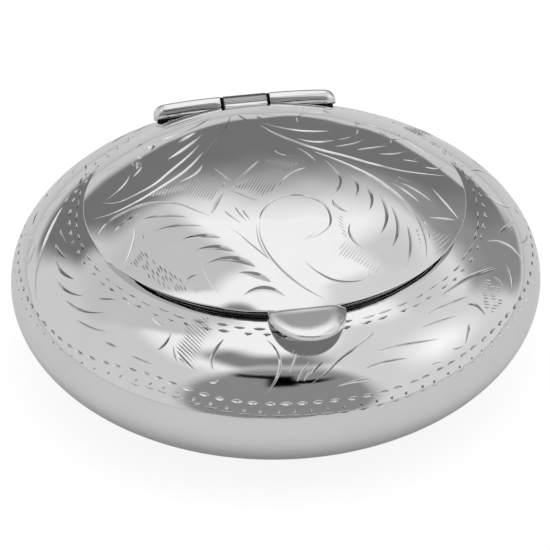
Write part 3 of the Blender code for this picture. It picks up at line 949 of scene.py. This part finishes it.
def make_knuckle_leaf(material):
    """Strap that runs from the lid's back edge up on to its knuckle."""
    half = knuckle_high.x - 0.06
    y, z = hinge_axis.y, hinge_axis.z
    outer = KNUCKLE_RADIUS + 0.07
    foot_y = LID_RADIUS - 0.62
    foot_z = float(dome_height(foot_y) - back_drop(foot_y)) + 0.02
    profile = [(y - outer * cos(t), z + outer * sin(t)) for t in np.linspace(radians(52), radians(25), 6)]
    profile += [(foot_y + 0.28, foot_z + 0.02), (foot_y, foot_z - 0.03), (foot_y, foot_z - 0.2)]
    profile += [(y - KNUCKLE_RADIUS + 0.1, z + 0.1), (y - 0.3, z + 0.55)]
    bm = bmesh.new()
    face = bm.faces.new([bm.verts.new(Vector((-half, *point)) * MM) for point in profile])
    raised = bmesh.ops.extrude_face_region(bm, geom=[face])["geom"]
    moved = [item for item in raised if isinstance(item, bmesh.types.BMVert)]
    bmesh.ops.translate(bm, verts=moved, vec=(2 * half * MM, 0, 0))
    bmesh.ops.recalc_face_normals(bm, faces=bm.faces)
    bmesh.ops.bevel(bm, geom=bm.edges[:], offset=0.05 * MM, segments=2, affect="EDGES", clamp_overlap=True)
    mesh = bpy.data.meshes.new("lid_knuckle_leaf")
    bm.to_mesh(mesh)
    bm.free()
    mesh.polygons.foreach_set("use_smooth", [True] * len(mesh.polygons))
    mesh.set_sharp_from_angle(angle=radians(50))
    return add_piece("lid_knuckle_leaf", mesh, material)


def make_joint_shade(name, direction, material):
    """Near-black ring in the gap between two knuckles, round the pin: painted shade in the gap."""
    inner = PIN_RADIUS + 0.01
    outer = KNUCKLE_RADIUS - 0.05
    edge = 0.03
    near, far = knuckle_high.x + 0.03, outer_low.x - 0.02
    section = [(outer - edge, far), (outer, far - edge), (outer, near + edge), (outer - edge, near)]
    section += [(inner, near), (inner, far)]
    shell = Shell(48)
    first, last = shell.turn(section)
    shell.turn([section[-1], section[0]], start=last, end=first)
    return shell.object(name, material, along_hinge(direction), reshaped=True)


def make_hinge_tube_shade(name, direction, material):
    """Near-black wedge under a tube's free end, where the shoulder falls away: painted shade under the tube.
    """
    verts, faces = [], []
    for x in np.linspace(5.2, outer_high.x - 0.35, 10):
        tube = hinge_axis.z - hinge_bow(x)
        for y in (hinge_axis.y - 0.5, hinge_axis.y + 0.3):
            out = (hypot(x, y - 0.1) - SHOULDER_CENTRE) / SHOULDER_WIDTH
            shoulder = BELLY_HEIGHT + SHOULDER_ARC_HEIGHT * sqrt(1 - out ** 2)
            verts.append((direction * x, y, tube - 0.45))
            verts.append((direction * x, y - 0.1, min(shoulder - 0.04, tube - 0.5)))
    last = len(verts) - 4
    for a in range(0, last, 4):
        b = a + 4
        faces += [(a, b, b + 1, a + 1), (a + 2, a + 3, b + 3, b + 2), (a, a + 2, b + 2, b),
                  (a + 1, b + 1, b + 3, a + 3)]
    faces += [(0, 1, 3, 2), (last, last + 2, last + 3, last + 1)]
    mesh = bpy.data.meshes.new(name)
    mesh.from_pydata([Vector(point) * MM for point in verts], [], faces)
    bm = bmesh.new()
    bm.from_mesh(mesh)
    bmesh.ops.recalc_face_normals(bm, faces=bm.faces)
    bm.to_mesh(mesh)
    bm.free()
    return add_piece(name, mesh, material)


def make_pin(material):
    half = pin_high.x
    cap = soft_edges(PIN_RADIUS, half, -half, 0.1)
    shell = Shell(48)
    top = shell.ring(0, half)
    _, rim = shell.turn([(0, half), cap[0]], start=top)
    _, low = shell.turn(cap, start=rim)
    shell.turn([cap[-1], (0, -half)], start=low)
    return shell.object("hinge_pin_rod", material, along_hinge(1))


def make_tab(material):
    """Half-round thumb tab: flat, with a straight fold at the lid and a drooping soft tip."""
    half = tab_high.x
    fold = -sqrt(LID_RADIUS ** 2 - half ** 2)
    reach = fold - tab_low.y
    thickness = tab_high.z - tab_low.z
    soft = TAB_EDGE

    def outline(inset):
        front = [(-(half - inset) * cos(t), fold - (reach - inset) * sin(t)) for t in np.linspace(0, pi, 49)]
        back = [((half - inset) * (1 - 2 * i / 12), fold + 0.5) for i in range(13)]
        return np.array(front + back)

    def surface(plan):
        x, y = plan[:, 0], plan[:, 1]
        out, into_lid = np.clip(fold - y, 0, None), np.clip(y - fold, 0, None)
        level = LID_EDGE_HEIGHT + 0.03
        at_fold = (dome_height(np.hypot(x, fold)) + 0.02 - level) * np.exp(-out / FOLD_SOFTNESS)
        across = np.hypot(x / half + 0.08, out / reach) / 1.04
        droop = TAB_DROOP * np.clip((across - TAB_FLAT) / (1 - TAB_FLAT), 0, 1) ** 2
        height = level + at_fold - droop + 0.03 * out - 0.3 * into_lid
        return np.concatenate([plan, height[:, None]], 1)

    def inside(x, y, margin=0.1):
        if margin == 0:
            return True
        u, v = x / (half - soft - margin), (fold - y) / (reach - soft - margin)
        return abs(u) < 1 and y < fold + 0.3 and (y > fold or u * u + v * v < 1)

    shell = Shell()
    rings = add_skin(shell, [outline(soft)], inside, surface, [])
    upper_edge = [(soft * (1 - sin(t)), soft * (1 - cos(t))) for t in np.linspace(0, pi / 2, 6)[1:]]
    lower_edge = [(inset, thickness - drop) for inset, drop in
                  [(soft * (1 - cos(t)), soft * (1 - sin(t))) for t in np.linspace(0, pi / 2, 5)]]
    for inset, drop in upper_edge + lower_edge:
        rings.append(shell.add_verts(surface(outline(inset)) - (0, 0, drop)))
    shell.add_wall(rings)
    return shell.object("lid_thumb_tab", material)


# ---------------------------------------------------------------------------------------------
# Materials


def add_node(tree, kind, settings=None, **inputs):
    """Node with its settings, and inputs given as numbers, colours or other nodes' outputs."""
    node = tree.nodes.new(kind)
    for name, value in (settings or {}).items():
        setattr(node, name, value)
    for key, value in inputs.items():
        name = key.replace("_", " ")
        socket = node.inputs[int(key[1:]) if key[1:].isdigit() else name]
        if isinstance(value, bpy.types.NodeSocket):
            tree.links.new(value, socket)
        else:
            socket.default_value = value
    return node


def maths(tree, operation, first, second=0.0, third=0.0):
    node = add_node(tree, "ShaderNodeMath", {"operation": operation}, _0=first, _1=second, _2=third)
    return node.outputs[0]


def rescale(tree, value, low, high, new_low, new_high):
    node = add_node(tree, "ShaderNodeMapRange", {"interpolation_type": "SMOOTHSTEP"},
                    _0=value, _1=low, _2=high, _3=new_low, _4=new_high)
    return node.outputs[0]


def noise(tree, vector, scale, detail=3.0):
    node = add_node(tree, "ShaderNodeTexNoise", Vector=vector, Scale=scale, Detail=detail)
    return node.outputs["Fac"]


# Noise scales of the silver, per metre, and its scratches by turn, stretch and scale.
CLOUDS = 260.0
SPECKS = 900.0
SCRATCHES = [(0.6, (1.0, 14.0, 14.0), 900.0), (-0.9, (14.0, 1.0, 14.0), 700.0)]


def silver(name, tone=0.8, gloss=0.05, scratch=0.03, tarnish=0.9):
    """Silver: clouded polish, fine scratches in two directions, and tarnish in the cuts."""
    material = bpy.data.materials.new(name)
    material.use_nodes = True
    tree = material.node_tree
    shader = tree.nodes["Principled BSDF"]
    shader.inputs["Metallic"].default_value = 1.0
    place = add_node(tree, "ShaderNodeTexCoord").outputs["Object"]

    clouds = noise(tree, place, CLOUDS, 4.0)
    cut = add_node(tree, "ShaderNodeAttribute", {"attribute_name": "cut"}).outputs["Fac"]
    bottom = maths(tree, "POWER", cut, 1.8)
    specks = rescale(tree, noise(tree, place, SPECKS), 0.3, 0.7, 0.4, 1.0)
    tarnish_and_shade = maths(tree, "MULTIPLY", bottom, specks)
    dark = maths(tree, "MULTIPLY", tarnish_and_shade, tarnish)
    shade = rescale(tree, clouds, 0.3, 0.7, tone * 0.985, tone * 1.015)
    level = maths(tree, "MULTIPLY", shade, maths(tree, "SUBTRACT", 1.0, dark))
    colour = add_node(tree, "ShaderNodeCombineColor", Red=level, Green=level, Blue=level)
    tree.links.new(colour.outputs[0], shader.inputs["Base Color"])

    patchy = rescale(tree, clouds, 0.35, 0.65, gloss * 0.7, gloss * 1.4)
    rough = maths(tree, "ADD", patchy, maths(tree, "MULTIPLY", tarnish_and_shade, 0.12))
    tree.links.new(rough, shader.inputs["Roughness"])

    scratches = []
    for turn, stretch, scale in SCRATCHES:
        lie = add_node(tree, "ShaderNodeMapping", Vector=place, Rotation=(0.0, 0.0, turn), Scale=stretch)
        scratches.append(noise(tree, lie.outputs[0], scale, 2.0))
    lines = maths(tree, "ADD", *scratches)
    bump = add_node(tree, "ShaderNodeBump", Strength=scratch, Distance=0.00002, Height=lines)
    tree.links.new(bump.outputs[0], shader.inputs["Normal"])
    return material


# ---------------------------------------------------------------------------------------------
# Studio: floor, surroundings and camera


def make_floor(name, drop, tone, glow):
    reach = 5.0
    mesh = bpy.data.meshes.new(name)
    corners = [(-reach, -reach, -drop), (reach, -reach, -drop), (reach, reach, -drop), (-reach, reach, -drop)]
    mesh.from_pydata(corners, [], [(0, 1, 2, 3)])
    material = bpy.data.materials.new(name)
    material.use_nodes = True
    sockets = material.node_tree.nodes["Principled BSDF"].inputs
    sockets["Base Color"].default_value = (tone, tone, tone, 1)
    sockets["Emission Color"].default_value = (1, 1, 1, 1)
    sockets["Emission Strength"].default_value = glow
    sockets["Roughness"].default_value = 0.9
    sockets["Specular IOR Level"].default_value = 0.0
    floor = add_piece(name, mesh, material)
    return floor


def make_floors():
    """White backlit paper for the camera, and the greyer table that the silver mirrors."""
    paper = make_floor("white_paper", 0.0001, 0.2, 0.87)
    paper.visible_glossy = False
    table = make_floor("mirrored_table", 0.0, 0.7, 0.07)
    table.visible_camera = False
    table.visible_diffuse = False
    table.visible_shadow = False


# Cards that the silver mirrors: azimuth from and to, elevation from and to, brightness, and how
# soft the edges are across and up. Azimuth is 0 at the front and grows to the right, in degrees.
WALL_CARDS = [
    ((104, 148), (27, 37), 0.33, (10, 4)),
    ((100, 142), (44, 60), 0.72, (8, 5)),
    ((-150, -46), (-20, 60), 0.72, (10, 8)),
    ((-150, -46), (60, 76), 1.05, (10, 5)),
    ((-168, -112), (38, 74), 0.64, (5, 4)),
    ((-170, -145), (9, 37), 0.2, (6, 3)),
    ((28, 112), (-20, 76), 0.78, (8, 4)),
    ((112, 138), (3, 30), 0.3, (7, 2)),
    ((60, 90), (25, 50), 1.15, (14, 12)),
    ((-76, 32), (66, 79), 0.26, (14, 4)),
]
# The large dark shape in front: two rounded layers, by centre, size and brightness.
FRONT_SHAPE = [((-8, 30), (43, 40), 0.55), ((-8, 29), (39, 36.5), 0.29)]
# The black shapes within it, as cards.
FRONT_BLACK = [
    ((-36, -6), (57, 60.5), 0.0, (6, 0.8)),
    ((-13, 2), (48, 60), 0.0, (2.5, 2)),
    ((-4, 18), (50.5, 54.5), 0.0, (7, 1)),
]
# The wall grows brighter from one elevation to another, and the ceiling is brighter still. Below
# an edge, which is higher at the back left and back right, the wall is pale.
DARK_WALL = 0.2
WALL_RAMP = (26.0, 47.0)
CEILING_FROM = (46.0, 48.5)
CEILING = 1.08
PALE_WALL = 0.68


def make_surroundings():
    """Studio walls and softboxes as seen from the box: brightness by azimuth and elevation."""
    world = bpy.data.worlds.new("studio")
    bpy.context.scene.world = world
    world.use_nodes = True
    tree = world.node_tree
    tree.nodes.clear()
    direction = add_node(tree, "ShaderNodeTexCoord").outputs["Generated"]
    x, y, z = add_node(tree, "ShaderNodeSeparateXYZ", Vector=direction).outputs
    to_degrees = 180 / pi
    elevation = maths(tree, "MULTIPLY", maths(tree, "ARCSINE", z), to_degrees)
    towards = maths(tree, "MULTIPLY", y, -1.0)
    azimuth = maths(tree, "MULTIPLY", maths(tree, "ARCTAN2", x, towards), to_degrees)
    around = maths(tree, "MULTIPLY_ADD", maths(tree, "LESS_THAN", azimuth, 0.0), 360.0, azimuth)

    def window(value, low, high, soft):
        rise = rescale(tree, value, low - soft, low + soft, 0.0, 1.0)
        fall = rescale(tree, value, high - soft, high + soft, 1.0, 0.0)
        return maths(tree, "MULTIPLY", rise, fall)

    def paint(level, mask, brightness):
        change = maths(tree, "SUBTRACT", brightness, level)
        return maths(tree, "MULTIPLY_ADD", change, mask, level)

    def paint_cards(level, cards):
        for turn, height, brightness, soft in cards:
            across = window(azimuth, *turn, soft[0])
            up = window(elevation, *height, soft[1])
            level = paint(level, maths(tree, "MULTIPLY", across, up), brightness)
        return level

    def rounded(centre, size):
        across = maths(tree, "DIVIDE", maths(tree, "SUBTRACT", azimuth, centre[0]), size[0])
        up = maths(tree, "DIVIDE", maths(tree, "SUBTRACT", elevation, centre[1]), size[1])
        cubes = [maths(tree, "POWER", maths(tree, "ABSOLUTE", v), 3.0) for v in (across, up)]
        return rescale(tree, maths(tree, "ADD", *cubes), 0.8, 1.25, 1.0, 0.0)

    level = rescale(tree, elevation, *WALL_RAMP, DARK_WALL, 1.0)
    level = paint(level, rescale(tree, elevation, *CEILING_FROM, 0.0, 1.0), CEILING)
    right, left = rescale(tree, around, 165, 150, 0, 4.5), rescale(tree, around, 168, 190, 4, 10.5)
    edge = maths(tree, "ADD", left, right)
    below_edge = rescale(tree, maths(tree, "SUBTRACT", elevation, edge), -1.0, 1.0, 1.0, 0.0)
    level = paint(level, below_edge, PALE_WALL)
    level = paint_cards(level, WALL_CARDS)
    for centre, size, brightness in FRONT_SHAPE:
        level = paint(level, rounded(centre, size), brightness)
    level = paint_cards(level, FRONT_BLACK)
    background = add_node(tree, "ShaderNodeBackground", Color=(1, 1, 1, 1), Strength=level)
    output = add_node(tree, "ShaderNodeOutputWorld")
    tree.links.new(background.outputs[0], output.inputs[0])


def make_top_light():
    """Large overhead softbox that lights the floor; the polished silver mirrors the walls."""
    light = bpy.data.lights.new("overhead", "AREA")
    light.size = 0.5
    light.energy = 0.9
    place = Vector((0.02, -0.05, 0.6))
    lamp = bpy.data.objects.new("overhead", light)
    lamp.location = place
    lamp.rotation_euler = (-place).to_track_quat("-Z", "Y").to_euler()
    lamp.visible_glossy = False
    bpy.context.collection.objects.link(lamp)


def make_camera():
    azimuth, elevation = radians(CAMERA_AZIMUTH), radians(CAMERA_ELEVATION)
    back = Vector((sin(azimuth) * cos(elevation), -cos(azimuth) * cos(elevation), sin(elevation)))
    right = Vector((cos(azimuth), sin(azimuth), 0))
    up = back.cross(right)
    aim = Vector((0, 0, BELLY_HEIGHT)) + CAMERA_AIM[0] * right + CAMERA_AIM[1] * up
    data = bpy.data.cameras.new("camera")
    data.sensor_width = 36
    data.lens = CAMERA_LENS
    data.clip_start = 0.01
    camera = bpy.data.objects.new("camera", data)
    camera.location = (aim + back * CAMERA_DISTANCE) * MM
    tilt = Matrix.Rotation(-radians(CAMERA_ROLL), 3, back)
    axes = Matrix((tilt @ right, tilt @ up, tilt @ back)).transposed()
    camera.rotation_mode = "QUATERNION"
    camera.rotation_quaternion = axes.to_quaternion()
    bpy.context.collection.objects.link(camera)
    bpy.context.scene.camera = camera


# ---------------------------------------------------------------------------------------------
# The scene


def dress(piece, body, slot, *nodes):
    """Put a piece on its body, in place of the CAD nodes given. The slot is not used."""
    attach(piece, body)
    if nodes:
        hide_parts(*nodes)


def main():
    bpy.context.scene.view_settings.view_transform = "Standard"
    make_camera()
    make_floors()
    make_surroundings()
    make_top_light()
    polished = silver("polished_silver")
    # The bands' silver is darker than the polished silver: painted shade, so the gap under the lid's edge
    # reads black. Its higher roughness is the bands' satin finish.
    shaded_satin = silver("shaded_satin_silver", tone=0.38, gloss=0.25, scratch=0.15)
    hinge = silver("hinge_silver", tone=0.8, gloss=0.06, scratch=0.05)
    # A darker copy of the hinge silver for the lid's knuckle: painted shade on the middle tube.
    shaded_hinge = silver("shaded_hinge_silver", tone=0.36, gloss=0.1, scratch=0.03)
    # Near-black silver for the pieces under the tubes and in the knuckle gaps: painted shade.
    tarnish_and_shade = silver("painted_shade_black", tone=0.02, gloss=0.6, scratch=0.3)

    dress(make_bowl(polished), "box_body", "body_silver", "base_bowl")
    dress(make_shoulder(polished), "box_body", "body_silver", "shoulder_ring")
    dress(make_band("seat_band", bezel_low, bezel_high, shaded_satin), "box_body", "band_silver", "rim_bezel")
    for side, direction in (("left", -1), ("right", 1)):
        tube = make_outer_knuckle(f"{side}_knuckle_tube", direction, hinge)
        dress(tube, "box_body", "hinge_silver", f"body_knuckle_{side}")
    dress(make_pin(hinge), "box_body", "hinge_silver", "hinge_pin")
    dress(make_lid(polished), "lid", "lid_silver", "lid_shell")
    dress(make_band("lid_band", flange_low, flange_high, shaded_satin), "lid", "band_silver", "lid_flange")
    dress(make_tab(polished), "lid", "lid_silver", "thumb_tab")
    # Near-black wedges under the outer tubes' free ends: painted shade.
    for side, direction in (("left", -1), ("right", 1)):
        dress(make_hinge_tube_shade(f"{side}_tube_shade", direction, tarnish_and_shade), "box_body", "hinge_silver")
    dress(make_lid_knuckle(shaded_hinge), "lid", "hinge_silver", "lid_knuckle")
    dress(make_knuckle_leaf(hinge), "lid", "hinge_silver")
    # Near-black rings in the gaps between the knuckles: painted shade.
    for side, direction in (("left", -1), ("right", 1)):
        dress(make_joint_shade(f"{side}_joint_shade", direction, tarnish_and_shade), "box_body", "hinge_silver")


main()
